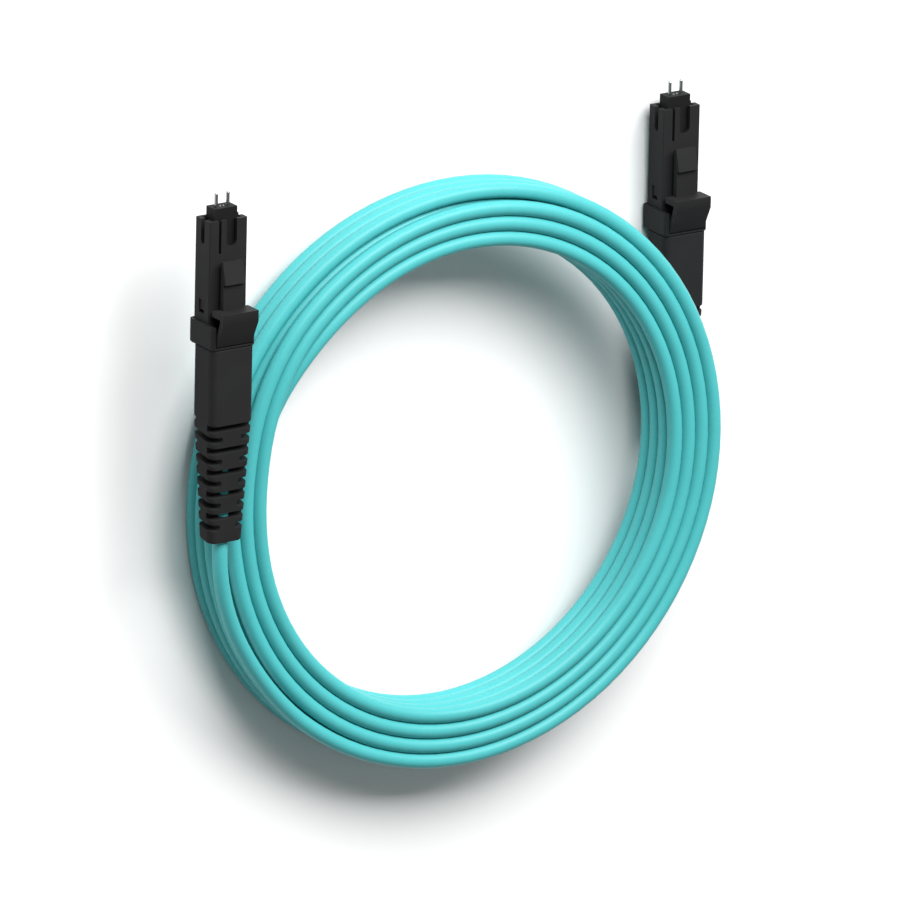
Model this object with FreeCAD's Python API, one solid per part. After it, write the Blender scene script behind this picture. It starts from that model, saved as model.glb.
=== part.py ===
import FreeCAD, Part
import math
import os

os.makedirs("parts", exist_ok=True)

# Duplex fibre patch lead, in millimetres, +Z up, lying on the floor at Z = 0.
# The cable is wound in a flat coil. Plug "a" lies on top of the coil, plug "b" under it.
# The lead is drawn level first, with the coil's mid-plane at Z = 0, and is then tipped to rest.

# ---- cable and coil
cable_diameter = 3.0
strands_across = 4
strand_layers = 4
outer_turn_radius = 56.6
turns_left_open = 1.5

# ---- where the plugs lie, measured at the nose tip in the level lead
a_tip_x = -59.85
a_tip_y = 62.6
a_tip_z = 8.2
b_tip_x = 56.4
b_tip_y = 62.2
b_tip_z = -11.3

# ---- plug nose. Stations run from the nose tip towards the cable.
nose_width = 8.4
nose_thickness = 5.15
nose_side_wall = 0.9
nose_face_wall = 0.75
nose_edge_radius = 0.25
side_slot_width = 1.25
side_slot_depth = 4.75
thin_slot_width = 0.55
thin_slot_depth = 6.55
thin_slot_x = -1.9
round_slot_width = 2.3
round_slot_depth = 5.35
round_slot_x = 0.7
window_station = 15.8
window_length = 2.7
window_height = 1.8
stop_station = 5.7
stop_length = 1.2

# ---- collar
collar_station = 20.15
collar_length = 4.75
collar_width = 9.75
collar_front = 5.3
collar_back = 3.45
collar_edge_radius = 1.0
collar_rim = 0.55
collar_bevel = 0.3

# ---- latch lever
arm_station = 7.75
arm_width = 4.45
arm_gap = 0.95
arm_thickness = 1.1
ramp_start_drop = 0.45
catch_station = 12.05
catch_height = 0.7
pad_station = 17.2
pad_width = 7.95
pad_front = 7.4
pad_flat_length = 2.2
pad_wall = 1.15
root_radius = 0.5
pad_inner_corner = 0.4
latch_travel_degrees = 3.0

# ---- ferrule and pins
ferrule_width = 5.1
ferrule_thickness = 3.0
ferrule_reach = 2.15
flange_length = 2.4
fibre_pitch = 0.75
fibre_diameter = 0.25
pin_diameter = 0.7
pin_pitch = 2.6
pin_reach = 2.75
pin_bevel = 0.13
pin_bevel_length = 0.2
keeper_thickness = 1.2
keeper_inset = 0.3
keeper_mouth = 0.56
soft_sleeve_width = 1.5
soft_sleeve_height = 1.2
soft_sleeve_length = 5.0
ferrule_travel = 1.0

# ---- spring
spring_wire = 0.4
spring_turns = 4
spring_length = 6.4

# ---- rear body, crimp sleeve and boot
boot_rise = 1.6
rear_flange_length = 3.0
tab_reach = 0.65
tab_end_gap = 0.6
barrel_diameter = 3.0
barrel_bore = 1.9
push_bore = 2.6
barrel_length = 10.0
sleeve_diameter = 3.6
sleeve_overlap = 7.0
boot_width = 9.6
boot_thickness = 7.2
boot_plain_length = 14.4
boot_length = 38.6
boot_corner_radius = 1.45
boot_wall = 0.9
boot_end_width = 7.6
boot_end_thickness = 4.6
boot_end_cap = 2.2
boot_end_wall = 0.4
slot_rows = 10
slot_pitch = 2.245
slot_height = 1.05
slot_corner_reach = 1.5
spine_share = 0.42
slot_corner_share = 0.3
first_slot_gap = 0.7

# ---- clearances
fit = 0.05
slide_fit = 0.15
flange_gap = 0.1
ferrule_gap = 0.25
spring_gap = 0.15
pin_fit = 0.01
latch_side_gap = 0.16

# ---- worked out from the sizes above
coil_width = strands_across * cable_diameter
coil_height = strand_layers * cable_diameter
coil_outer_radius = outer_turn_radius + cable_diameter / 2
coil_inner_radius = coil_outer_radius - coil_width
coil_turns = strands_across * strand_layers - turns_left_open
collar_end = collar_station + collar_length
rim_station = collar_end - collar_rim
boot_end = collar_end + boot_length
cavity_width = nose_width - 2 * nose_side_wall
cavity_height = nose_thickness - 2 * nose_face_wall
stop_reach = (cavity_width - ferrule_width) / 2 - ferrule_gap
flange_width = cavity_width - 2 * flange_gap
flange_thickness = cavity_height - 2 * flange_gap
keeper_width = flange_width - 2 * keeper_inset
keeper_height = flange_thickness - 2 * keeper_inset
spring_outer = cavity_height - 2 * spring_gap
flange_station = stop_station + stop_length
flange_end = flange_station + flange_length
pocket_station = flange_station - 0.5
keeper_end = flange_end + keeper_thickness
spring_end = keeper_end + spring_length
barrel_station = collar_end + rear_flange_length
barrel_end = barrel_station + barrel_length
cable_start = barrel_end + fit
arm_floor = nose_thickness / 2 + arm_gap
arm_top = arm_floor + arm_thickness
hinge_station = rim_station - root_radius - fit
hinge_height = collar_front - root_radius
root_turn = math.radians(30)


def block(width, first, last, low, high, middle=0.0):
    """A box `width` wide about x = middle, from station `first` to `last`, from z = low to high."""
    corner = FreeCAD.Vector(middle - width / 2, -last, low)
    return Part.makeBox(width, last - first, high - low, corner)


def rod(diameter, first, last, x=0.0, z=0.0):
    """A round bar along the plug from station `first` to `last`."""
    start = FreeCAD.Vector(x, -last, z)
    return Part.makeCylinder(diameter / 2, last - first, start, FreeCAD.Vector(0, 1, 0))


def cross_rod(radius, length, station, z):
    """A round bar across the plug, about x = 0."""
    start = FreeCAD.Vector(-length / 2, -station, z)
    return Part.makeCylinder(radius, length, start, FreeCAD.Vector(1, 0, 0))


def upright_rod(radius, station, x, low, high):
    """A round bar standing through the plug's thickness."""
    return Part.makeCylinder(radius, high - low, FreeCAD.Vector(x, -station, low))


def flat_section(width, thickness, station, rise):
    """A closed rectangular wire across the plug at one station."""
    corners = [FreeCAD.Vector(sx * width / 2, -station, rise + sz * thickness / 2)
               for sx, sz in ((1, 1), (-1, 1), (-1, -1), (1, -1))]
    return Part.makePolygon(corners + corners[:1])


def tapered_bar(first_size, first, last_size, last, rise):
    """A bar whose width and thickness change evenly between two stations."""
    sections = [flat_section(*first_size, first, rise), flat_section(*last_size, last, rise)]
    return Part.makeLoft(sections, True, True)


def side_profile(points, width):
    """A plate `width` wide about x = 0, cut to an outline of (station, z) corners."""
    corners = [FreeCAD.Vector(-width / 2, -station, z) for station, z in points]
    face = Part.Face(Part.makePolygon(corners + corners[:1]))
    return face.extrude(FreeCAD.Vector(width, 0, 0))


def along_edges(shape):
    """The straight edges that run along the plug."""
    return [e for e in shape.Edges if abs(e.tangentAt(e.FirstParameter).y) > 0.9]


def plug_housing():
    half_t = nose_thickness / 2
    shell = block(nose_width, 0, collar_end, -half_t, half_t)
    shell = shell.makeFillet(nose_edge_radius, along_edges(shell))
    shell = shell.cut(block(cavity_width, -1, collar_end + 1, -cavity_height / 2, cavity_height / 2))
    for side in (-1, 1):
        stop = block(stop_reach, stop_station, flange_station, -cavity_height / 2, cavity_height / 2,
                     side * (cavity_width - stop_reach) / 2)
        shell = shell.fuse(stop)
    half_slot = side_slot_width / 2
    side_slot = block(nose_width + 2, -1, side_slot_depth - half_slot, -half_slot, half_slot)
    side_slot = side_slot.fuse(cross_rod(half_slot, nose_width + 2, side_slot_depth - half_slot, 0))
    window = block(nose_width + 2, window_station, window_station + window_length,
                   -window_height / 2, window_height / 2)
    thin_slot = block(thin_slot_width, -1, thin_slot_depth, 0, nose_thickness, thin_slot_x)
    half_round = round_slot_width / 2
    round_slot = block(round_slot_width, -1, round_slot_depth - half_round,
                       0, nose_thickness, round_slot_x)
    round_end = upright_rod(half_round, round_slot_depth - half_round, round_slot_x, 0, nose_thickness)
    for opening in (side_slot, window, thin_slot, round_slot.fuse(round_end)):
        shell = shell.cut(opening)
    return shell.removeSplitter()


def collar():
    body = block(collar_width, collar_station, collar_end, -collar_back, collar_front)
    body = body.makeFillet(collar_edge_radius, along_edges(body))
    foot_face = min(body.Faces, key=lambda face: face.CenterOfMass.y)
    body = body.makeChamfer(collar_bevel, foot_face.Edges)
    opening = pad_width + 2 * latch_side_gap
    half_nose = nose_thickness / 2
    body = body.cut(block(opening, collar_station - 1, rim_station, -half_nose - fit, collar_front + 1))
    body = body.cut(block(nose_width, collar_station, collar_end + 1, -half_nose, half_nose))
    body = body.cut(cross_rod(root_radius + fit, opening, hinge_station, hinge_height))
    return body.removeSplitter()


def latch_lever():
    step = catch_station
    arm = side_profile([(arm_station, arm_floor), (arm_station, arm_top - ramp_start_drop),
                        (step, arm_top + catch_height), (step, arm_top),
                        (pad_station + pad_wall, arm_top),
                        (pad_station + pad_wall, arm_floor)], arm_width)
    flat_end = pad_station + pad_flat_length
    outer_z = root_radius * math.cos(root_turn)
    inner_z = root_radius * math.sin(root_turn)
    pad = side_profile([(pad_station, arm_floor), (pad_station, pad_front), (flat_end, pad_front),
                        (hinge_station + inner_z, hinge_height + outer_z),
                        (hinge_station - outer_z, hinge_height - inner_z),
                        (flat_end - pad_inner_corner, pad_front - pad_wall),
                        (pad_station + pad_wall, pad_front - pad_wall),
                        (pad_station + pad_wall, arm_floor)], pad_width)
    root = cross_rod(root_radius, pad_width, hinge_station, hinge_height)
    return arm.fuse([pad, root]).removeSplitter()


def ferrule():
    half_t = ferrule_thickness / 2
    body = block(ferrule_width, -ferrule_reach, pocket_station + 1, -half_t, half_t)
    flange = block(flange_width, flange_station + fit, flange_end,
                   -flange_thickness / 2, flange_thickness / 2)
    body = body.fuse(flange)
    first = -ferrule_reach - 1
    last = flange_end + 1
    for side in (-1, 1):
        body = body.cut(rod(pin_diameter + 2 * pin_fit, first, last, side * pin_pitch / 2))
        body = body.cut(rod(fibre_diameter + 2 * pin_fit, first, last, side * fibre_pitch / 2))
    pocket = block(soft_sleeve_width + 2 * fit, pocket_station, flange_end + 1,
                   -soft_sleeve_height / 2 - fit, soft_sleeve_height / 2 + fit)
    return body.cut(pocket).removeSplitter()


def guide_pins():
    tip = -ferrule_reach - pin_reach
    radius = pin_diameter / 2
    pins = []
    for side in (-1, 1):
        outline = [(0, tip), (radius - pin_bevel, tip), (radius, tip + pin_bevel_length),
                   (radius, keeper_end), (0, keeper_end)]
        corners = [FreeCAD.Vector(r, -station, 0) for r, station in outline]
        face = Part.Face(Part.makePolygon(corners + corners[:1]))
        pin = face.revolve(FreeCAD.Vector(), FreeCAD.Vector(0, 1, 0), 360)
        pin.translate(FreeCAD.Vector(side * pin_pitch / 2, 0, 0))
        pins.append(pin)
    return Part.makeCompound(pins)


def pin_keeper():
    plate = block(keeper_width, flange_end + 2 * fit, keeper_end, -keeper_height / 2, keeper_height / 2)
    plate = plate.cut(block(soft_sleeve_width + 2 * fit, flange_end - 1, keeper_end,
                            -soft_sleeve_height / 2 - fit, soft_sleeve_height / 2 + fit))
    for side in (-1, 1):
        x = side * pin_pitch / 2
        plate = plate.cut(rod(pin_diameter + 2 * pin_fit, flange_end - 1, keeper_end + 1, x))
        plate = plate.cut(block(keeper_mouth, flange_end - 1, keeper_end + 1, 0, keeper_height, x))
    return plate.removeSplitter()


def ferrule_boot():
    first = pocket_station + fit
    last = first + soft_sleeve_length
    sleeve = block(soft_sleeve_width, first, last, -soft_sleeve_height / 2, soft_sleeve_height / 2)
    passage = fibre_diameter + 2 * pin_fit
    return sleeve.cut(block(fibre_pitch + passage, first - 1, last + 1, -passage / 2, passage / 2))


def spring():
    """A square-wire coil spring between the pin keeper and the rear body."""
    length = spring_length - spring_wire - 2 * fit
    radius = (spring_outer - spring_wire) / 2
    helix = Part.makeHelix(length / spring_turns, length, radius)
    half = spring_wire / 2
    corners = [FreeCAD.Vector(radius + sx * half, 0, sz * half)
               for sx, sz in ((1, 1), (-1, 1), (-1, -1), (1, -1))]
    section = Part.makePolygon(corners + corners[:1])
    coil = Part.Wire(helix.Edges).makePipeShell([section], True, True)
    coil.rotate(FreeCAD.Vector(), FreeCAD.Vector(1, 0, 0), -90)
    coil.translate(FreeCAD.Vector(0, -spring_end + half + fit, 0))
    return coil


def rear_body():
    push = block(cavity_width - 2 * fit, spring_end, collar_end,
                 -cavity_height / 2 + fit, cavity_height / 2 - fit)
    inside_width = boot_width - 2 * boot_wall - 2 * fit
    inside_height = boot_thickness - 2 * boot_wall - 2 * fit
    neck = block(cavity_width - 2 * fit, collar_end - 1, barrel_station,
                 boot_rise - inside_height / 2, cavity_height / 2 - fit)
    push = push.fuse(neck)
    leg_width = (cavity_width - spring_outer) / 2 - 2 * slide_fit
    for side in (-1, 1):
        leg = block(leg_width, window_station + fit, spring_end + 1, -window_height / 2 + fit,
                    window_height / 2 - fit, side * (cavity_width / 2 - fit - leg_width / 2))
        tab = block(tab_reach + fit, window_station + fit, window_station + window_length - tab_end_gap,
                    -window_height / 2 + fit, window_height / 2 - fit,
                    side * (cavity_width + tab_reach - fit) / 2)
        push = push.fuse([leg, tab])
    flange = block(inside_width, collar_end + fit, barrel_station,
                   boot_rise - inside_height / 2, boot_rise + inside_height / 2)
    barrel = rod(barrel_diameter, barrel_station - 1, barrel_end, 0, boot_rise)
    body = push.fuse([flange, barrel])
    body = body.cut(rod(barrel_bore, collar_end + 1, barrel_end + 1, 0, boot_rise))
    body = body.cut(rod(push_bore, spring_end - 1, barrel_station - 0.5))
    return body.removeSplitter()


def crimp_sleeve():
    tube = rod(sleeve_diameter, barrel_station + fit, barrel_end + sleeve_overlap, 0, boot_rise)
    return tube.cut(rod(cable_diameter + 2 * fit, barrel_station, boot_end, 0, boot_rise))


def boot_size(station):
    """Width and thickness of the boot's outside at one station."""
    taper_start = collar_end + boot_plain_length
    share = max(0.0, (station - taper_start) / (boot_end - taper_start))
    width = boot_width + share * (boot_end_width - boot_width)
    thickness = boot_thickness + share * (boot_end_thickness - boot_thickness)
    return width, thickness


def strain_boot():
    taper_start = collar_end + boot_plain_length
    full = (boot_width, boot_thickness)
    plain = block(boot_width, collar_end, taper_start,
                  boot_rise - boot_thickness / 2, boot_rise + boot_thickness / 2)
    taper = tapered_bar(full, taper_start, (boot_end_width, boot_end_thickness), boot_end, boot_rise)
    boot = plain.fuse(taper)
    boot = boot.makeFillet(boot_corner_radius, along_edges(boot))
    cap_station = boot_end - boot_end_cap
    open_size = (boot_width - 2 * boot_wall, boot_thickness - 2 * boot_wall)
    end_width, end_thickness = boot_size(cap_station)
    throat_size = (end_width - 2 * boot_wall, end_thickness - 2 * boot_end_wall)
    hollow = block(open_size[0], collar_end - 1, taper_start, boot_rise - open_size[1] / 2,
                   boot_rise + open_size[1] / 2)
    throat = tapered_bar(open_size, taper_start, throat_size, cap_station, boot_rise)
    boot = boot.cut(hollow.fuse(throat))
    boot = boot.cut(rod(cable_diameter + 2 * fit, cap_station - 1, boot_end + 1, 0, boot_rise))
    return boot.cut(boot_slots()).removeSplitter()


def side_slot(side, width, thickness, low, high):
    """A slot in from one side to the boot's spine, its inner corners cut back."""
    spine = side * spine_share * width / 2
    outside = side * (width / 2 + 1)
    corner = side * (high - low) * slot_corner_share
    outline = [(outside, low), (spine + corner, low), (spine, low + abs(corner)),
               (spine, high - abs(corner)), (spine + corner, high), (outside, high)]
    points = [FreeCAD.Vector(x, -station, boot_rise - thickness) for x, station in outline]
    face = Part.Face(Part.makePolygon(points + points[:1]))
    return face.extrude(FreeCAD.Vector(0, 0, 2 * thickness))


def boot_slots():
    """Rows of slots: even rows cross the faces, odd rows come in from both sides."""
    cuts = []
    first = collar_end + boot_plain_length + first_slot_gap
    for row in range(slot_rows):
        middle = first + row * slot_pitch
        low = middle - slot_height / 2
        high = middle + slot_height / 2
        width, thickness = boot_size(middle)
        for side in (-1, 1):
            if row % 2 == 0:
                bottom = boot_rise + side * (thickness / 2 - slot_corner_reach)
                top = boot_rise + side * (thickness / 2 + 1)
                cuts.append(block(width + 2, low, high, min(bottom, top), max(bottom, top)))
            else:
                cuts.append(side_slot(side, width, thickness, low, high))
    return Part.makeCompound(cuts)


def fibre_pair():
    """Two fibres: straight through the ferrule, then rising to the cable's axis."""
    bend = keeper_end + 2
    last = barrel_end - ferrule_travel - 0.1
    fibres = []
    for side in (-1, 1):
        x = side * fibre_pitch / 2
        start = FreeCAD.Vector(x, -bend, 0)
        run = FreeCAD.Vector(x, -last, boot_rise) - start
        rear = Part.makeCylinder(fibre_diameter / 2, run.Length, start, run)
        fibres.append(rod(fibre_diameter, -ferrule_reach, bend + fit, x).fuse(rear).removeSplitter())
    return Part.makeCompound(fibres)


# ---- cable stretches, drawn in the level lead

def plug_point(tip, station, rise=0.0):
    return FreeCAD.Vector(tip[0], tip[1] - station, tip[2] + rise)


a_tip = (a_tip_x, a_tip_y, a_tip_z)
b_tip = (b_tip_x, b_tip_y, b_tip_z)

a_tail_points = [
    plug_point(a_tip, cable_start, boot_rise),
    FreeCAD.Vector(a_tip_x, -14.0, a_tip_z + boot_rise),
    FreeCAD.Vector(-51.5, -31.5, 8.4),
    FreeCAD.Vector(-36.3, -43.4, 6.2),
]
b_tail_points = [
    plug_point(b_tip, cable_start, boot_rise),
    FreeCAD.Vector(b_tip_x, -15.0, b_tip_z + boot_rise),
    FreeCAD.Vector(48.5, -32.0, -8.6),
    FreeCAD.Vector(34.8, -44.6, -6.2),
]


def tube(points, diameter):
    """A round tube along straight runs, with an arc tangent to both runs at each bend."""
    edges = []
    start = points[0]
    for before, corner, after in zip(points, points[1:], points[2:]):
        back = (before - corner).normalize()
        ahead = (after - corner).normalize()
        half_turn = (math.pi - back.getAngle(ahead)) / 2
        shorter = min((before - corner).Length, (after - corner).Length)
        setback = 0.45 * shorter
        radius = setback / math.tan(half_turn)
        print("bend radius", round(radius, 1))
        arc_start = corner + back * setback
        arc_end = corner + ahead * setback
        inward = (back + ahead).normalize()
        centre = corner + inward * (radius / math.cos(half_turn))
        middle = centre - inward * radius
        edges.append(Part.makeLine(start, arc_start))
        edges.append(Part.Arc(arc_start, middle, arc_end).toShape())
        start = arc_end
    edges.append(Part.makeLine(start, points[-1]))
    path = Part.Wire(edges)
    ring = Part.Wire(Part.makeCircle(diameter / 2, points[0], points[1] - points[0]))
    return path.makePipe(Part.Face(ring))


def cable_coil():
    """The wound turns as one ring, its long edges cut back as far as the round outer turns are."""
    edge = cable_diameter * (1 - math.sqrt(0.5))
    half = coil_height / 2
    outline = [(coil_inner_radius + edge, -half), (coil_outer_radius - edge, -half),
               (coil_outer_radius, -half + edge), (coil_outer_radius, half - edge),
               (coil_outer_radius - edge, half), (coil_inner_radius + edge, half),
               (coil_inner_radius, half - edge), (coil_inner_radius, -half + edge)]
    corners = [FreeCAD.Vector(radius, 0, z) for radius, z in outline]
    face = Part.Face(Part.makePolygon(corners + corners[:1]))
    return face.revolve(FreeCAD.Vector(), FreeCAD.Vector(0, 0, 1), 360)


# ---- how the level lead is tipped to rest on the coil's edge and plug b's collar

def rest_placement():
    corner_x = b_tip_x - collar_width / 2
    corner_y = b_tip_y - collar_end + collar_bevel
    corner_z = b_tip_z - collar_back
    heading = math.atan2(corner_y, corner_x)
    far_radius = coil_outer_radius - cable_diameter * (1 - math.sqrt(0.5))
    far_z = -coil_height / 2
    tip_angle = math.atan2(far_z - corner_z, math.hypot(corner_x, corner_y) + far_radius)
    tip_axis = FreeCAD.Vector(math.sin(heading), -math.cos(heading), 0)
    turn = FreeCAD.Rotation(tip_axis, math.degrees(tip_angle))
    far_point = FreeCAD.Vector(-far_radius * math.cos(heading), -far_radius * math.sin(heading), far_z)
    return FreeCAD.Placement(FreeCAD.Vector(0, 0, -turn.multVec(far_point).z), turn)


def export(shape, name, rest):
    placed = shape.copy()
    placed.Placement = rest.multiply(placed.Placement)
    placed.exportStep("parts/" + name + ".step")


plug_pieces = {
    "plug_housing": plug_housing,
    "collar": collar,
    "latch_lever": latch_lever,
    "ferrule": ferrule,
    "guide_pins": guide_pins,
    "pin_keeper": pin_keeper,
    "ferrule_boot": ferrule_boot,
    "spring": spring,
    "rear_body": rear_body,
    "crimp_sleeve": crimp_sleeve,
    "strain_boot": strain_boot,
    "fibre_pair": fibre_pair,
}


def main():
    rest = rest_placement()
    for name, make in plug_pieces.items():
        piece = make()
        for prefix, tip in (("a_", a_tip), ("b_", b_tip)):
            copy = piece.copy()
            copy.translate(FreeCAD.Vector(*tip))
            export(copy, prefix + name, rest)
    export(cable_coil(), "cable_coil", rest)
    export(tube(a_tail_points, cable_diameter), "a_cable_tail", rest)
    export(tube(b_tail_points, cable_diameter), "b_cable_tail", rest)
    mean_radius = (coil_inner_radius + coil_outer_radius) / 2
    print("cable in the coil, mm:", round(coil_turns * 2 * math.pi * mean_radius))


main()
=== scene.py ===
import bmesh
import bpy
import math
from mathutils import Matrix, Vector


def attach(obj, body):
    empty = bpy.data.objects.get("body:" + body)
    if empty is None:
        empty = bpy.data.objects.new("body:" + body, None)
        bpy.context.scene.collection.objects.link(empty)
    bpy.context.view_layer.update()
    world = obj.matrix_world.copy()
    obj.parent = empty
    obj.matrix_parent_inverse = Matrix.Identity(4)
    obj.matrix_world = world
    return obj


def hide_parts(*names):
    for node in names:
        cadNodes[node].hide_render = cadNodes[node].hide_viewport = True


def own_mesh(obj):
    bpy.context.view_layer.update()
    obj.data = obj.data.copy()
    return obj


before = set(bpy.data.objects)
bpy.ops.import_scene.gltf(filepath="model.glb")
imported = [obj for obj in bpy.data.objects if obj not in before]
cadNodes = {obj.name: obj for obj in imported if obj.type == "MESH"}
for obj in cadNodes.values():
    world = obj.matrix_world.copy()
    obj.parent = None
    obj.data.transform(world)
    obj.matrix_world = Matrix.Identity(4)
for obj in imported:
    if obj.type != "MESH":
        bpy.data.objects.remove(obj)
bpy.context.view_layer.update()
mm = 0.001
print("frame loaded,", len(cadNodes), "CAD nodes")

# The lead is laid out level, as in the part's source, then tipped to rest on the floor
restTip = {"axis": (0.58947598, -0.80778590, 0.0), "degrees": 4.135859, "lift": 10.111273}
levelToRest = (Matrix.Translation((0, 0, restTip["lift"] * mm))
               @ Matrix.Rotation(math.radians(restTip["degrees"]), 4, Vector(restTip["axis"])))
plugTips = {"a": (-59.85, 62.6, 8.2), "b": (56.4, 62.2, -11.3)}  # nose tips in the level lead, mm


def atRest(x, y, z):
    return levelToRest @ Vector((x * mm, y * mm, z * mm))


def plugToRest(plug):
    return levelToRest @ Matrix.Translation(Vector(plugTips[plug]) * mm)


# Node helpers
def addNode(tree, kind, inputs=None, **settings):
    node = tree.nodes.new(kind)
    for name, value in settings.items():
        setattr(node, name, value)
    for name, value in (inputs or {}).items():
        socket = node.inputs[name]
        if isinstance(value, bpy.types.NodeSocket):
            tree.links.new(value, socket)
        else:
            socket.default_value = value
    return node


def addMath(tree, operation, first, second=0.0, third=0.0):
    node = addNode(tree, "ShaderNodeMath", {0: first, 1: second, 2: third}, operation=operation)
    return node.outputs[0]


surfaceRules = {  # how far every plastic strays from its own colour and roughness
    "grainDetail": 3.0,
    "grainRoughness": 0.55,
    "mottleDetail": 2.0,
    "mottleRoughness": 0.5,
    "speckle": 0.16,
    "speckleFloor": 0.92,
    "patches": (0.35, 0.65),  # where along the mottling the edge wear sets in and is full
    "edgePolish": -0.12,
}


# Fine grain, soft mottling and worn edges, shared by every plastic
def buildMouldedSurface():
    group = bpy.data.node_groups.new("mouldedSurface", "ShaderNodeTree")
    sockets = group.interface
    for name, kind, value in (("Colour", "NodeSocketColor", (0.03, 0.03, 0.03, 1)),
                              ("Worn Colour", "NodeSocketColor", (0.08, 0.08, 0.08, 1)),
                              ("Grain Size", "NodeSocketFloat", 0.0002),
                              ("Mottle Size", "NodeSocketFloat", 0.003),
                              ("Mottle Amount", "NodeSocketFloat", 0.25),
                              ("Roughness", "NodeSocketFloat", 0.4),
                              ("Roughness Spread", "NodeSocketFloat", 0.1),
                              ("Edge Wear", "NodeSocketFloat", 0.5)):
        socket = sockets.new_socket(name, in_out="INPUT", socket_type=kind)
        socket.default_value = value
    sockets.new_socket("Colour", in_out="OUTPUT", socket_type="NodeSocketColor")
    sockets.new_socket("Roughness", in_out="OUTPUT", socket_type="NodeSocketFloat")
    sockets.new_socket("Height", in_out="OUTPUT", socket_type="NodeSocketFloat")
    given = addNode(group, "NodeGroupInput").outputs
    place = addNode(group, "ShaderNodeTexCoord").outputs["Object"]
    grain = addNode(group, "ShaderNodeTexNoise", {
        "Vector": place, "Scale": addMath(group, "DIVIDE", 1.0, given["Grain Size"]),
        "Detail": surfaceRules["grainDetail"], "Roughness": surfaceRules["grainRoughness"]})
    mottle = addNode(group, "ShaderNodeTexNoise", {
        "Vector": place, "Scale": addMath(group, "DIVIDE", 1.0, given["Mottle Size"]),
        "Detail": surfaceRules["mottleDetail"], "Roughness": surfaceRules["mottleRoughness"]})
    shade = addMath(group, "MULTIPLY_ADD", mottle.outputs["Fac"], given["Mottle Amount"],
                    addMath(group, "MULTIPLY_ADD", given["Mottle Amount"], -0.5, 1.0))
    speckle = addMath(group, "MULTIPLY_ADD", grain.outputs["Fac"], surfaceRules["speckle"],
                      surfaceRules["speckleFloor"])
    tone = addNode(group, "ShaderNodeVectorMath", {0: given["Colour"], "Scale": addMath(
        group, "MULTIPLY", shade, speckle)}, operation="SCALE")
    edge = addNode(group, "ShaderNodeAttribute", attribute_name="edgeBand")
    patches = addNode(group, "ShaderNodeMapRange", {
        "Value": mottle.outputs["Fac"], "From Min": surfaceRules["patches"][0],
        "From Max": surfaceRules["patches"][1]})
    worn = addMath(group, "MULTIPLY", edge.outputs["Fac"],
                   addMath(group, "MULTIPLY", patches.outputs[0], given["Edge Wear"]))
    colour = addNode(group, "ShaderNodeMix", {"Factor": worn, "A": tone.outputs[0],
                                              "B": given["Worn Colour"]}, data_type="RGBA")
    rough = addMath(group, "MULTIPLY_ADD", addMath(group, "SUBTRACT", mottle.outputs["Fac"], 0.5),
                    given["Roughness Spread"], given["Roughness"])
    roughAtEdge = addMath(group, "MULTIPLY_ADD", worn, surfaceRules["edgePolish"], rough)
    addNode(group, "NodeGroupOutput", {
        "Colour": colour.outputs["Result"], "Roughness": roughAtEdge,
        "Height": grain.outputs["Fac"]})
    return group


mouldedSurface = buildMouldedSurface()


def mouldedPlastic(name, look):
    material = bpy.data.materials.new(name)
    material.use_nodes = True
    tree = material.node_tree
    shader = tree.nodes["Principled BSDF"]
    surface = addNode(tree, "ShaderNodeGroup", node_tree=mouldedSurface)
    for socket, value in look["surface"].items():
        surface.inputs[socket].default_value = value
    bump = addNode(tree, "ShaderNodeBump", {
        "Height": surface.outputs["Height"], "Strength": look["grainStrength"],
        "Distance": look["grainDepth"]})
    tree.links.new(surface.outputs["Colour"], shader.inputs["Base Color"])
    tree.links.new(surface.outputs["Roughness"], shader.inputs["Roughness"])
    tree.links.new(bump.outputs["Normal"], shader.inputs["Normal"])
    shader.inputs["Specular IOR Level"].default_value = look["specular"]
    return material


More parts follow.
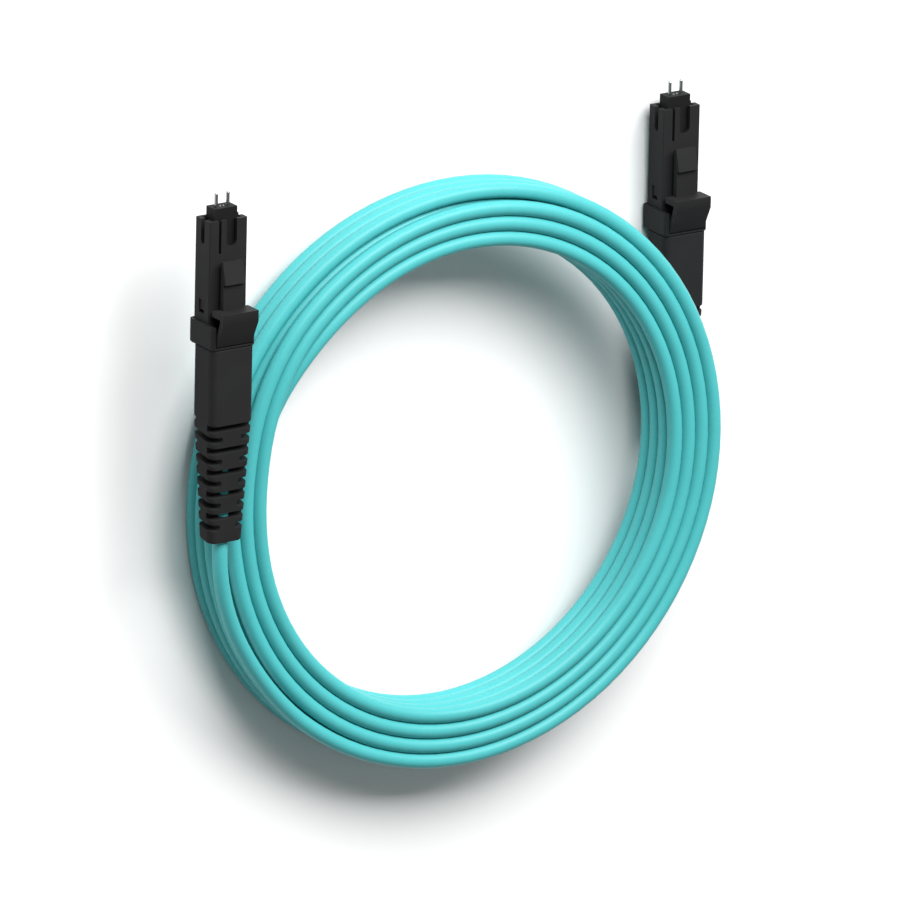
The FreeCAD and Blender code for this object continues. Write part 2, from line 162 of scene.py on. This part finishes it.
plasticLooks = {
    "housingBlack": {"grainStrength": 0.25, "grainDepth": 0.00002, "specular": 0.05, "surface": {
        "Colour": (0.020, 0.020, 0.0205, 1), "Worn Colour": (0.07, 0.07, 0.072, 1),
        "Grain Size": 0.00022, "Mottle Size": 0.004, "Mottle Amount": 0.2,
        "Roughness": 0.46, "Roughness Spread": 0.14, "Edge Wear": 0.55}},
    "bootBlack": {"grainStrength": 0.35, "grainDepth": 0.00003, "specular": 0.05, "surface": {
        "Colour": (0.020, 0.0202, 0.0207, 1), "Worn Colour": (0.06, 0.06, 0.062, 1),
        "Grain Size": 0.00016, "Mottle Size": 0.005, "Mottle Amount": 0.25,
        "Roughness": 0.5, "Roughness Spread": 0.15, "Edge Wear": 0.35}},
    "ferruleBlack": {"grainStrength": 0.3, "grainDepth": 0.00002, "specular": 0.06, "surface": {
        "Colour": (0.012, 0.012, 0.0125, 1), "Worn Colour": (0.05, 0.05, 0.05, 1),
        "Grain Size": 0.0001, "Mottle Size": 0.0015, "Mottle Amount": 0.3,
        "Roughness": 0.52, "Roughness Spread": 0.1, "Edge Wear": 0.4}},
    "softBlack": {"grainStrength": 0.2, "grainDepth": 0.00002, "specular": 0.35, "surface": {
        "Colour": (0.030, 0.030, 0.030, 1), "Worn Colour": (0.06, 0.06, 0.06, 1),
        "Grain Size": 0.0001, "Mottle Size": 0.002, "Mottle Amount": 0.2,
        "Roughness": 0.7, "Roughness Spread": 0.1, "Edge Wear": 0.1}},
    "crimpBlack": {"grainStrength": 0.15, "grainDepth": 0.00001, "specular": 0.6, "surface": {
        "Colour": (0.030, 0.030, 0.032, 1), "Worn Colour": (0.25, 0.25, 0.26, 1),
        "Grain Size": 0.00025, "Mottle Size": 0.002, "Mottle Amount": 0.3,
        "Roughness": 0.35, "Roughness Spread": 0.15, "Edge Wear": 0.7}},
    "fibreCoat": {"grainStrength": 0.1, "grainDepth": 0.000005, "specular": 0.5, "surface": {
        "Colour": (0.62, 0.66, 0.68, 1), "Worn Colour": (0.7, 0.7, 0.7, 1),
        "Grain Size": 0.0001, "Mottle Size": 0.002, "Mottle Amount": 0.1,
        "Roughness": 0.25, "Roughness Spread": 0.1, "Edge Wear": 0.0}},
    "cableJacket": {"grainStrength": 0.12, "grainDepth": 0.00003, "specular": 0.3, "surface": {
        "Colour": (0.070, 0.435, 0.445, 1), "Worn Colour": (0.12, 0.6, 0.6, 1),
        "Grain Size": 0.0004, "Mottle Size": 0.012, "Mottle Amount": 0.12,
        "Roughness": 0.42, "Roughness Spread": 0.12, "Edge Wear": 0.0}},
}
plastics = {name: mouldedPlastic(name, look) for name, look in plasticLooks.items()}


steelLooks = {  # line is how wide the drawing marks are, and length how long, in metres
    # The tint darkens each steel's rims at grazing angles: painted shade standing in for dark
    # reflections, strong on the pins and mild on the spring
    "pinSteel": {"colour": (0.5, 0.5, 0.51), "paintedRimShade": (0.12, 0.12, 0.12, 1), "line": 0.00005,
                 "length": 0.002, "rough": (0.16, 0.3)},
    "springSteel": {"colour": (0.62, 0.62, 0.64), "paintedRimShade": (0.6, 0.6, 0.6, 1), "line": 0.00006,
                    "length": 0.001, "rough": (0.25, 0.42)},
}
steelMarks = {"detail": 2.0, "tone": 0.2, "toneFloor": 0.88, "strength": 0.1, "depth": 0.00001}


# Steel with fine marks drawn along the plug
def groundSteel(name, look):
    material = bpy.data.materials.new(name)
    material.use_nodes = True
    tree = material.node_tree
    shader = tree.nodes["Principled BSDF"]
    shader.inputs["Metallic"].default_value = 1.0
    # The tint darkens the rims at grazing angles: painted shade, not the steel's own colour
    shader.inputs["Specular Tint"].default_value = look["paintedRimShade"]
    place = addNode(tree, "ShaderNodeTexCoord").outputs["Object"]
    drawn = addNode(tree, "ShaderNodeMapping", {
        "Vector": place, "Scale": (1 / look["line"], 1 / look["length"], 1 / look["line"])})
    lines = addNode(tree, "ShaderNodeTexNoise", {
        "Vector": drawn.outputs[0], "Scale": 1.0, "Detail": steelMarks["detail"]})
    rough = addNode(tree, "ShaderNodeMapRange", {
        "Value": lines.outputs["Fac"], "To Min": look["rough"][0], "To Max": look["rough"][1]})
    tone = addMath(tree, "MULTIPLY_ADD", lines.outputs["Fac"], steelMarks["tone"],
                   steelMarks["toneFloor"])
    colour = addNode(tree, "ShaderNodeVectorMath", {0: look["colour"], "Scale": tone},
                     operation="SCALE")
    bump = addNode(tree, "ShaderNodeBump", {
        "Height": lines.outputs["Fac"], "Strength": steelMarks["strength"],
        "Distance": steelMarks["depth"]})
    tree.links.new(colour.outputs[0], shader.inputs["Base Color"])
    tree.links.new(rough.outputs[0], shader.inputs["Roughness"])
    tree.links.new(bump.outputs["Normal"], shader.inputs["Normal"])
    return material


steels = {name: groundSteel(name, look) for name, look in steelLooks.items()}


cable = {  # one line in mm and degrees, wound from plug a's boot into plug b's boot
    "diameter": 3.0,
    "across": 4,
    "layers": 4,
    "outerRadius": 56.6,
    "pointsPerTurn": 24,
    "roundness": 0.99146,  # how far inside its control points the spline runs on a turn
    "firstAngle": 245.0,
    "lastAngle": 5315.0,
    "length": 4790.0,
    "order": 3,
    "lengthSteps": 4,
    "roundSteps": 6,
}
# Where each turn steps over to its next place, and how far round it takes, in degrees from +X.
# The outer column sinks slowly. The other steps are short, under plug a or inside the coil.
turnSteps = [(70, 150)] * 3 + [(-30, 30)] + [(-188, 24)] * 3 + [(-200, 40)] * 2 + [
    (-213, 36), (-226, 30), (-238, 26), (-248, 26), (-258, 26), (-268, 26)]
leadIn = [  # out of boot a and down onto the outer column
    (-59.85, 24.65, 9.8), (-59.85, 12.0, 9.8), (-59.85, 1.0, 9.8), (-59.9, -8.0, 9.7),
    (-57.0, -17.9, 8.6), (-51.8, -27.3, 7.4), (-44.5, -36.6, 6.0), (-35.8, -44.7, 5.0),
]
leadOut = [  # down from the bottom layer, out under the coil and into boot b
    (16.6, -48.2, -5.3), (27.1, -43.4, -7.2), (36.5, -37.8, -8.1), (45.2, -31.0, -8.8),
    (52.3, -22.7, -9.4), (56.1, -12.5, -9.7), (56.4, -1.5, -9.7), (56.4, 11.0, -9.7),
    (56.4, 24.25, -9.7),
]


def turnPlaces():
    # The outer column goes down, the next goes up, and the inner two go down together, row by row
    columns = [cable["outerRadius"] - step * cable["diameter"] for step in range(cable["across"])]
    levels = [((cable["layers"] - 1) / 2 - layer) * cable["diameter"]
              for layer in range(cable["layers"])]
    places = [(columns[0], level) for level in levels]
    places += [(columns[1], level) for level in reversed(levels)]
    for row, level in enumerate(levels):
        pair = columns[2:] if row % 2 == 0 else columns[:1:-1]
        places += [(radius, level) for radius in pair]
    return places


def smoothStep(share):
    share = min(1.0, max(0.0, share))
    return share * share * (3 - 2 * share)


def coilPoint(angle, places):
    radius, height = places[0]
    for index, (stepAngle, span) in enumerate(turnSteps, 1):
        share = smoothStep((angle - stepAngle - 360 * index) / span + 0.5)
        radius += share * (places[index][0] - places[index - 1][0])
        height += share * (places[index][1] - places[index - 1][1])
    radius /= cable["roundness"]
    turn = math.radians(angle)
    return radius * math.cos(turn), radius * math.sin(turn), height


def windCable():
    pointAngle = 360.0 / cable["pointsPerTurn"]
    count = round((cable["lastAngle"] - cable["firstAngle"]) / pointAngle)
    places = turnPlaces()
    turns = [coilPoint(cable["firstAngle"] + pointAngle * step, places)
             for step in range(count + 1)]
    points = [atRest(*point) for point in leadIn + turns + leadOut]
    line = bpy.data.curves.new("duplexCable", "CURVE")
    line.dimensions = "3D"
    line.resolution_u = cable["lengthSteps"]
    line.bevel_depth = cable["diameter"] / 2 * mm
    line.bevel_resolution = cable["roundSteps"]
    line.use_fill_caps = True
    spline = line.splines.new("NURBS")
    spline.points.add(len(points) - 1)
    for handle, point in zip(spline.points, points):
        handle.co = (*point, 1.0)
    spline.order_u = cable["order"]
    spline.use_endpoint_u = True
    line.materials.append(plastics["cableJacket"])
    cord = bpy.data.objects.new("duplexCable", line)
    bpy.context.scene.collection.objects.link(cord)
    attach(cord, "lead")
    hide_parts("cable_coil", "a_cable_tail", "b_cable_tail")
    print("cable wound,", len(points), "control points")


windCable()


edgeRules = {  # degrees and mm, and the shortest edge in edge radii
    "roundFrom": 35,
    "shortest": 2.2,
    "segments": 2,
    "shadeUpTo": 50,
    "flatWithin": 1,
    "merge": 0.001,
}


def joinFlats(bm, merge):
    bmesh.ops.remove_doubles(bm, verts=bm.verts, dist=merge * mm)
    bmesh.ops.dissolve_limit(bm, angle_limit=math.radians(edgeRules["flatWithin"]), verts=bm.verts,
                             edges=bm.edges)


def shadeSmooth(bm, upTo):
    for face in bm.faces:
        face.smooth = True
    for edge in bm.edges:
        edge.smooth = not edge.is_manifold or edge.calc_face_angle() < math.radians(upTo)


# Rounds the sharp edges, and marks the rounded bands for the wear
def finishMesh(bm, edgeRadius):
    band = bm.faces.layers.float.new("edgeBand")
    bmesh.ops.recalc_face_normals(bm, faces=bm.faces)
    sharp = [edge for edge in bm.edges
             if edge.is_manifold and edge.calc_face_angle() > math.radians(edgeRules["roundFrom"])
             and edge.calc_length() > edgeRules["shortest"] * edgeRadius]
    made = bmesh.ops.bevel(bm, geom=sharp, offset=edgeRadius, offset_type="OFFSET",
                           segments=edgeRules["segments"], profile=0.5, affect="EDGES",
                           clamp_overlap=True)
    for face in made["faces"]:
        face[band] = 1.0
    shadeSmooth(bm, edgeRules["shadeUpTo"])


def addPiece(name, mesh, body, nodeName, material):
    mesh.materials.clear()
    mesh.materials.append(material)
    piece = bpy.data.objects.new(name, mesh)
    bpy.context.scene.collection.objects.link(piece)
    weighted = piece.modifiers.new("evenShading", "WEIGHTED_NORMAL")
    weighted.keep_sharp = True
    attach(piece, body)
    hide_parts(nodeName)
    return piece


mouldings = {  # the CAD shapes with their edges rounded; edge is the radius in mm
    "plug_housing": {"name": "nose", "edge": 0.06, "body": "lead", "slot": "black_plastic",
                     "look": "housingBlack"},
    "collar": {"name": "collarShell", "edge": 0.09, "body": "lead", "slot": "black_plastic",
               "look": "housingBlack"},
    "latch_lever": {"name": "latch", "edge": 0.07, "body": "latch_unit", "slot": "black_plastic",
                    "look": "housingBlack"},
    "ferrule": {"name": "ferruleBlock", "edge": 0.04, "body": "ferrule_unit",
                "slot": "ferrule_black", "look": "ferruleBlack"},
}


def makeMoulding(plug, node, facts):
    bm = bmesh.new()
    bm.from_mesh(cadNodes[plug + "_" + node].data)
    joinFlats(bm, edgeRules["merge"])
    finishMesh(bm, facts["edge"] * mm)
    mesh = bpy.data.meshes.new(plug + "_" + facts["name"])
    bm.to_mesh(mesh)
    bm.free()
    body = facts["body"] if facts["body"] == "lead" else plug + "_" + facts["body"]
    addPiece(plug + "_" + facts["name"], mesh, body, plug + "_" + node,
             plastics[facts["look"]])


for plug in plugTips:
    for node, facts in mouldings.items():
        makeMoulding(plug, node, facts)
print("mouldings made")


boot = {  # mm; stations run from the nose tip towards the cable
    "rise": 1.6,
    "front": 24.9,
    "frontBevel": 0.1,
    "taperStart": 39.3,
    "end": 63.5,
    "frontSize": (9.6, 7.2),
    "endSize": (7.6, 4.6),
    "corner": 1.45,
    "wall": 0.9,
    "endRound": 0.3,
    # shares of endRound, back from the end, off the size and off the corner
    "endProfile": [(0.3, 0.55, 0.0), (0.0, 2.0, 0.6)],
    "holeCorner": 0.49,  # corner of the round holes, as a share of their width
    "cableHole": 3.1,
    "sleeveHole": 3.75,
    "sleeveEnd": 45.1,
    "coreStart": 38.6,
    "innerCorner": 0.3,
    "lean": 0.17,  # slots and end step this far towards the cable for each mm up
    "cornerSteps": 7,
    "edge": 0.07,
    "merge": 0.002,
    "rows": 10,
    "pitch": 2.245,
    "firstRow": 40.0,
    "slotHeight": 1.3,
    "slotRound": 0.64,
    "roundSteps": 4,
    "cornerReach": 1.65,
    "spineShare": 0.42,
    "cutterReach": 8.0,
}


def bootSize(station):
    share = max(0.0, (station - boot["taperStart"]) / (boot["end"] - boot["taperStart"]))
    return [front + share * (end - front)
            for front, end in zip(boot["frontSize"], boot["endSize"])]


def ringAt(bm, station, width, thickness, corner, lean=0.0):
    ring = []
    for quarter, (sideX, sideZ) in enumerate(((1, 1), (-1, 1), (-1, -1), (1, -1))):
        for step in range(boot["cornerSteps"] + 1):
            turn = math.pi / 2 * (quarter + step / boot["cornerSteps"])
            x = sideX * (width / 2 - corner) + corner * math.cos(turn)
            z = sideZ * (thickness / 2 - corner) + corner * math.sin(turn)
            ring.append(bm.verts.new((x * mm, -(station + lean * z) * mm, (boot["rise"] + z) * mm)))
    return ring


# A closed shell of rings: down the outside, round the end, and back through the holes
def makeBootShell():
    bm = bmesh.new()
    fullWidth, fullThickness = boot["frontSize"]
    endWidth, endThickness = boot["endSize"]
    front, end, corner, lean = boot["front"], boot["end"], boot["corner"], boot["lean"]
    wall, bevel, soft = boot["wall"], boot["frontBevel"], boot["endRound"]
    inner = (fullWidth - 2 * wall, fullThickness - 2 * wall, boot["innerCorner"])
    hole, sleeve = ((size, size, boot["holeCorner"] * size)
                    for size in (boot["cableHole"], boot["sleeveHole"]))
    rings = [
        (front, fullWidth - 2 * bevel, fullThickness - 2 * bevel, corner - bevel),
        (front + bevel, fullWidth, fullThickness, corner),
        (boot["taperStart"], fullWidth, fullThickness, corner),
        (end - soft, *bootSize(end - soft), corner, lean),
    ]
    rings += [(end - back * soft, endWidth - off * soft, endThickness - off * soft,
               corner - cut * soft, lean) for back, off, cut in boot["endProfile"]]
    rings += [
        (end, *hole, lean),
        (boot["sleeveEnd"], *hole),
        (boot["sleeveEnd"], *sleeve),
        (boot["coreStart"], *sleeve),
        (boot["coreStart"], *inner),
        (front, *inner),
    ]
    loops = [ringAt(bm, *ring) for ring in rings]
    for loop, nextLoop in zip(loops, loops[1:] + loops[:1]):
        for place in range(len(loop)):
            following = (place + 1) % len(loop)
            bm.faces.new((loop[place], loop[following], nextLoop[following], nextLoop[place]))
    bmesh.ops.recalc_face_normals(bm, faces=bm.faces)
    mesh = bpy.data.meshes.new("bootShell")
    bm.to_mesh(mesh)
    bm.free()
    return mesh


slotInputs = {  # named inputs of the slot tree, in metres unless they are counts or shares
    "Rows": boot["rows"] // 2,
    "Pitch": boot["pitch"] * mm,
    "First Row": boot["firstRow"] * mm,
    "Slot Height": boot["slotHeight"] * mm,
    "Slot Round": boot["slotRound"] * mm,
    "Corner Reach": boot["cornerReach"] * mm,
    "Spine Share": boot["spineShare"],
    "Cutter Reach": boot["cutterReach"] * mm,
    "Taper Start": boot["taperStart"] * mm,
    "Boot End": boot["end"] * mm,
    "Front Width": boot["frontSize"][0] * mm,
    "End Width": boot["endSize"][0] * mm,
    "Front Thickness": boot["frontSize"][1] * mm,
    "End Thickness": boot["endSize"][1] * mm,
    "Rise": boot["rise"] * mm,
    "Lean": boot["lean"],
}


# Rows alternate: cut from both faces, then from both sides in to the spine
def buildSlotTree():
    tree = bpy.data.node_groups.new("bootSlots", "GeometryNodeTree")
    tree.interface.new_socket("Geometry", in_out="INPUT", socket_type="NodeSocketGeometry")
    for name, value in slotInputs.items():
        kind = "NodeSocketInt" if isinstance(value, int) else "NodeSocketFloat"
        tree.interface.new_socket(name, in_out="INPUT", socket_type=kind)
    tree.interface.new_socket("Geometry", in_out="OUTPUT", socket_type="NodeSocketGeometry")
    given = addNode(tree, "NodeGroupInput").outputs
    station = addMath(tree, "MULTIPLY", addNode(tree, "ShaderNodeSeparateXYZ", {
        0: addNode(tree, "GeometryNodeInputPosition").outputs[0]}).outputs["Y"], -1.0)

    def sizeAlong(front, end):
        return addNode(tree, "ShaderNodeMapRange", {
            "Value": station, "From Min": given["Taper Start"], "From Max": given["Boot End"],
            "To Min": given[front], "To Max": given[end]}).outputs[0]

    def rowPoints(start, x, rise):
        step = addMath(tree, "MULTIPLY", given["Pitch"], -2.0)
        line = addNode(tree, "GeometryNodeMeshLine", {
            "Count": given["Rows"],
            "Start Location": addNode(tree, "ShaderNodeCombineXYZ", {
                "Y": addMath(tree, "MULTIPLY", start, -1.0)}).outputs[0],
            "Offset": addNode(tree, "ShaderNodeCombineXYZ", {"Y": step}).outputs[0]})
        forward = addMath(tree, "MULTIPLY", rise, addMath(tree, "MULTIPLY", given["Lean"], -1.0))
        shift = addNode(tree, "ShaderNodeCombineXYZ", {
            "X": x, "Y": forward, "Z": addMath(tree, "ADD", rise, given["Rise"])})
        return addNode(tree, "GeometryNodeSetPosition", {
            "Geometry": line.outputs["Mesh"], "Offset": shift.outputs[0]}).outputs["Geometry"]

    width = sizeAlong("Front Width", "End Width")
    thickness = sizeAlong("Front Thickness", "End Thickness")
    reach = given["Cutter Reach"]
    halfReach = addMath(tree, "MULTIPLY", reach, 0.5)

    bar = addNode(tree, "GeometryNodeMeshCube", {"Size": addNode(tree, "ShaderNodeCombineXYZ", {
        "X": addMath(tree, "MULTIPLY", reach, 2.0), "Y": given["Slot Height"],
        "Z": reach}).outputs[0]})
    outline = addNode(tree, "GeometryNodeCurvePrimitiveQuadrilateral", {
        "Width": reach, "Height": given["Slot Height"]})
    rounded = addNode(tree, "GeometryNodeFilletCurve", {
        "Curve": outline.outputs[0], "Count": boot["roundSteps"],
        "Radius": given["Slot Round"]}, mode="POLY")
    depth = addNode(tree, "GeometryNodeCurvePrimitiveLine", {
        "Start": addNode(tree, "ShaderNodeCombineXYZ", {
            "Z": addMath(tree, "MULTIPLY", reach, -1.0)}).outputs[0],
        "End": addNode(tree, "ShaderNodeCombineXYZ", {"Z": reach}).outputs[0]})
    prism = addNode(tree, "GeometryNodeCurveToMesh", {
        "Curve": depth.outputs[0], "Profile Curve": rounded.outputs[0], "Fill Caps": True})

    leaning = addNode(tree, "ShaderNodeCombineXYZ", {
        "X": addMath(tree, "ARCTANGENT", given["Lean"])})
    cutters = addNode(tree, "GeometryNodeJoinGeometry")
    secondRow = addMath(tree, "ADD", given["First Row"], given["Pitch"])
    for side in (-1.0, 1.0):
        inset = addMath(tree, "SUBTRACT", addMath(tree, "MULTIPLY", thickness, 0.5),
                        given["Corner Reach"])
        height = addMath(tree, "MULTIPLY", addMath(tree, "ADD", inset, halfReach), side)
        faceRow = rowPoints(given["First Row"], 0.0, height)
        spine = addMath(tree, "MULTIPLY", addMath(tree, "MULTIPLY", width, 0.5),
                        given["Spine Share"])
        across = addMath(tree, "MULTIPLY", addMath(tree, "ADD", spine, halfReach), side)
        sideRow = rowPoints(secondRow, across, 0.0)
        for points, shape in ((faceRow, bar.outputs["Mesh"]), (sideRow, prism.outputs["Mesh"])):
            placed = addNode(tree, "GeometryNodeInstanceOnPoints", {
                "Points": points, "Instance": shape, "Rotation": leaning.outputs[0]})
            tree.links.new(placed.outputs[0], cutters.inputs[0])
    solidCutters = addNode(tree, "GeometryNodeRealizeInstances", {0: cutters.outputs[0]})
    cut = addNode(tree, "GeometryNodeMeshBoolean", {"Mesh 1": given["Geometry"]},
                  operation="DIFFERENCE", solver="EXACT")
    tree.links.new(solidCutters.outputs[0], cut.inputs["Mesh 2"])
    real = addNode(tree, "GeometryNodeRealizeInstances", {0: cut.outputs["Mesh"]})
    dressed = addNode(tree, "GeometryNodeSetMaterial", {
        "Geometry": real.outputs[0], "Material": plastics["bootBlack"]})
    addNode(tree, "NodeGroupOutput", {"Geometry": dressed.outputs[0]})
    return tree


# Runs a Geometry Nodes tree on a mesh, and gives back what it made as a plain mesh
def shapeWith(tree, values, mesh):
    blank = bpy.data.objects.new(tree.name + "Blank", mesh)
    bpy.context.scene.collection.objects.link(blank)
    shaper = blank.modifiers.new(tree.name, "NODES")
    shaper.node_group = tree
    for item in tree.interface.items_tree:
        if item.in_out == "INPUT" and item.name in values:
            shaper[item.identifier] = values[item.name]
    graph = bpy.context.evaluated_depsgraph_get()
    shaped = bpy.data.meshes.new_from_object(blank.evaluated_get(graph))
    blank.modifiers.clear()
    bpy.data.objects.remove(blank)
    bm = bmesh.new()
    bm.from_mesh(shaped)
    return bm


def makeBoots():
    bm = shapeWith(buildSlotTree(), slotInputs, makeBootShell())
    joinFlats(bm, boot["merge"])
    finishMesh(bm, boot["edge"] * mm)
    print("boot faces:", len(bm.faces))
    for plug in plugTips:
        mesh = bpy.data.meshes.new(plug + "_boot")
        bm.to_mesh(mesh)
        mesh.transform(plugToRest(plug))
        addPiece(plug + "_boot", mesh, "lead", plug + "_strain_boot",
                 plastics["bootBlack"])
    bm.free()


makeBoots()
print("boots slotted")


pins = {  # mm; the profile is radius and distance from the tip
    "diameter": 0.7,
    "pitch": 2.6,
    "tip": -4.9,
    "back": 10.5,
    "sides": 32,
    "profile": [(0.0, 0.0), (0.1, 0.015), (0.18, 0.055), (0.25, 0.125), (0.3, 0.21),
                (0.335, 0.32), (0.35, 0.46)],
    "backBevel": 0.06,
    "merge": 0.0005,
    "shadeUpTo": 40,  # degrees
}


def makePins(plug):
    radius = pins["diameter"] / 2
    outline = [(r, pins["tip"] + step) for r, step in pins["profile"]]
    outline += [(radius, pins["back"] - pins["backBevel"]),
                (radius - pins["backBevel"], pins["back"]), (0.0, pins["back"])]
    bm = bmesh.new()
    for side in (-1, 1):
        x = side * pins["pitch"] / 2
        verts = [bm.verts.new(((x + r) * mm, -station * mm, 0)) for r, station in outline]
        lines = [bm.edges.new(pair) for pair in zip(verts, verts[1:])]
        bmesh.ops.spin(bm, geom=verts + lines, cent=(x * mm, 0, 0), axis=(0, 1, 0),
                       angle=math.tau, steps=pins["sides"], use_merge=True)
    bmesh.ops.remove_doubles(bm, verts=bm.verts, dist=pins["merge"] * mm)
    bmesh.ops.recalc_face_normals(bm, faces=bm.faces)
    shadeSmooth(bm, pins["shadeUpTo"])
    mesh = bpy.data.meshes.new(plug + "_pins")
    bm.to_mesh(mesh)
    bm.free()
    mesh.transform(plugToRest(plug))
    addPiece(plug + "_pins", mesh, plug + "_ferrule_unit", plug + "_guide_pins",
             steels["pinSteel"])


for plug in plugTips:
    makePins(plug)
print("guide pins turned")


spring = {  # mm; stations as on the boot
    "turns": 5.5,
    "wire": 0.4,
    "outer": 3.35,
    "start": 10.55,
    "end": 16.85,
    "travel": 1.0,
    "stepsPerTurn": 28,
    "wireSides": 12,
}
coilInputs = {
    "Turns": spring["turns"],
    "Wire Radius": spring["wire"] / 2 * mm,
    "Coil Radius": (spring["outer"] - spring["wire"]) / 2 * mm,
    "Coil Length": (spring["end"] - spring["start"] - spring["wire"]) * mm,
    "Far End": (spring["end"] - spring["wire"] / 2) * mm,
}


def buildCoilTree():
    tree = bpy.data.node_groups.new("springCoil", "GeometryNodeTree")
    for name in coilInputs:
        tree.interface.new_socket(name, in_out="INPUT", socket_type="NodeSocketFloat")
    tree.interface.new_socket("Geometry", in_out="OUTPUT", socket_type="NodeSocketGeometry")
    given = addNode(tree, "NodeGroupInput").outputs
    helix = addNode(tree, "GeometryNodeCurveSpiral", {
        "Resolution": spring["stepsPerTurn"], "Rotations": given["Turns"],
        "Start Radius": given["Coil Radius"], "End Radius": given["Coil Radius"],
        "Height": given["Coil Length"]})
    wire = addNode(tree, "GeometryNodeCurvePrimitiveCircle", {
        "Resolution": spring["wireSides"], "Radius": given["Wire Radius"]})
    tube = addNode(tree, "GeometryNodeCurveToMesh", {
        "Curve": helix.outputs[0], "Profile Curve": wire.outputs[0], "Fill Caps": True})
    laid = addNode(tree, "GeometryNodeTransform", {
        "Geometry": tube.outputs[0], "Rotation": (-math.pi / 2, 0, 0),
        "Translation": addNode(tree, "ShaderNodeCombineXYZ", {
            "Y": addMath(tree, "MULTIPLY", given["Far End"], -1.0)}).outputs[0]})
    real = addNode(tree, "GeometryNodeRealizeInstances", {0: laid.outputs[0]})
    dressed = addNode(tree, "GeometryNodeSetMaterial", {
        "Geometry": real.outputs[0], "Material": steels["springSteel"]})
    addNode(tree, "NodeGroupOutput", {"Geometry": dressed.outputs[0]})
    return tree


# Winds one spring and puts a copy in each plug
def makeSprings():
    bm = shapeWith(buildCoilTree(), coilInputs, bpy.data.meshes.new("coilBlank"))
    bmesh.ops.recalc_face_normals(bm, faces=bm.faces)
    for face in bm.faces:
        face.smooth = len(face.verts) == 4
    for plug in plugTips:
        mesh = bpy.data.meshes.new(plug + "_coil")
        bm.to_mesh(mesh)
        mesh.transform(plugToRest(plug))
        piece = addPiece(plug + "_coil", mesh, "lead", plug + "_spring",
                         steels["springSteel"])
        piece.modifiers.clear()
        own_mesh(piece)
    bm.free()


makeSprings()
print("springs wound")


nodeFinishes = {  # CAD nodes that keep their shape
    "rear_body": plastics["housingBlack"],
    "pin_keeper": plastics["housingBlack"],
    "ferrule_boot": plastics["softBlack"],
    "crimp_sleeve": plastics["crimpBlack"],
    "fibre_pair": plastics["fibreCoat"],
}
for plug in plugTips:
    for piece, finish in nodeFinishes.items():
        for materialSlot in cadNodes[plug + "_" + piece].material_slots:
            materialSlot.material = finish
print("CAD nodes finished")


studio = {  # metres and watts
    "floorSize": 3.0,
    "floorColour": (0.9, 0.9, 0.9, 1),
    "floorRoughness": 0.8,
    "skyStrength": 0.22,
    "keyPower": 26.5,
    "keySize": (1.4, 0.6),
    "keyPlace": (0.1, 0.8, 0.79),
}
view = {  # in the level lead: degrees, and millimetres
    "heading": 33.6,
    "tilt": 17.929,
    "roll": 1.278,
    "distance": 3839.3,
    "across": 1.072,
    "up": -4.07,
    "lens": 800.0,
    "sensor": 36.0,
    "farClip": 20.0,  # metres
}


def addFloor():
    half = studio["floorSize"] / 2
    mesh = bpy.data.meshes.new("studioFloor")
    corners = [(-half, -half, 0), (half, -half, 0), (half, half, 0), (-half, half, 0)]
    mesh.from_pydata(corners, [], [(0, 1, 2, 3)])
    floor = bpy.data.objects.new("studioFloor", mesh)
    material = bpy.data.materials.new("paleFloor")
    material.use_nodes = True
    shader = material.node_tree.nodes["Principled BSDF"]
    shader.inputs["Base Color"].default_value = studio["floorColour"]
    shader.inputs["Roughness"].default_value = studio["floorRoughness"]
    mesh.materials.append(material)
    bpy.context.scene.collection.objects.link(floor)


def addSoftBox(name, place, size, power):
    data = bpy.data.lights.new(name, "AREA")
    data.shape = "RECTANGLE"
    data.size, data.size_y = size
    data.energy = power
    lamp = bpy.data.objects.new(name, data)
    lamp.location = place
    lamp.rotation_euler = (-Vector(place)).to_track_quat("-Z", "Y").to_euler()
    bpy.context.scene.collection.objects.link(lamp)


def addSky():
    world = bpy.data.worlds.new("studioSky")
    world.use_nodes = True
    background = world.node_tree.nodes["Background"]
    background.inputs["Color"].default_value = (1, 1, 1, 1)
    background.inputs["Strength"].default_value = studio["skyStrength"]
    bpy.context.scene.world = world


def addCamera():
    heading, tilt, roll = (math.radians(view[name]) for name in ("heading", "tilt", "roll"))
    right = Vector((math.cos(heading), 0, math.sin(heading)))
    up = Vector((math.sin(heading) * math.sin(tilt), math.cos(tilt),
                 -math.cos(heading) * math.sin(tilt)))
    back = right.cross(up)
    rolledRight = right * math.cos(roll) + up * math.sin(roll)
    rolledUp = up * math.cos(roll) - right * math.sin(roll)
    place = (back * view["distance"] - rolledRight * view["across"]
             - rolledUp * view["up"]) * mm
    turn = Matrix((rolledRight, rolledUp, back)).transposed().to_4x4()
    data = bpy.data.cameras.new("studioCamera")
    data.lens = view["lens"]
    data.sensor_width = view["sensor"]
    data.clip_end = view["farClip"]
    camera = bpy.data.objects.new("studioCamera", data)
    camera.matrix_world = levelToRest @ Matrix.Translation(place) @ turn
    bpy.context.scene.collection.objects.link(camera)
    bpy.context.scene.camera = camera


addFloor()
addSky()
addSoftBox("keyLight", studio["keyPlace"], studio["keySize"], studio["keyPower"])
addCamera()
bpy.context.scene.view_settings.view_transform = "Standard"
print("floor, light and camera set")
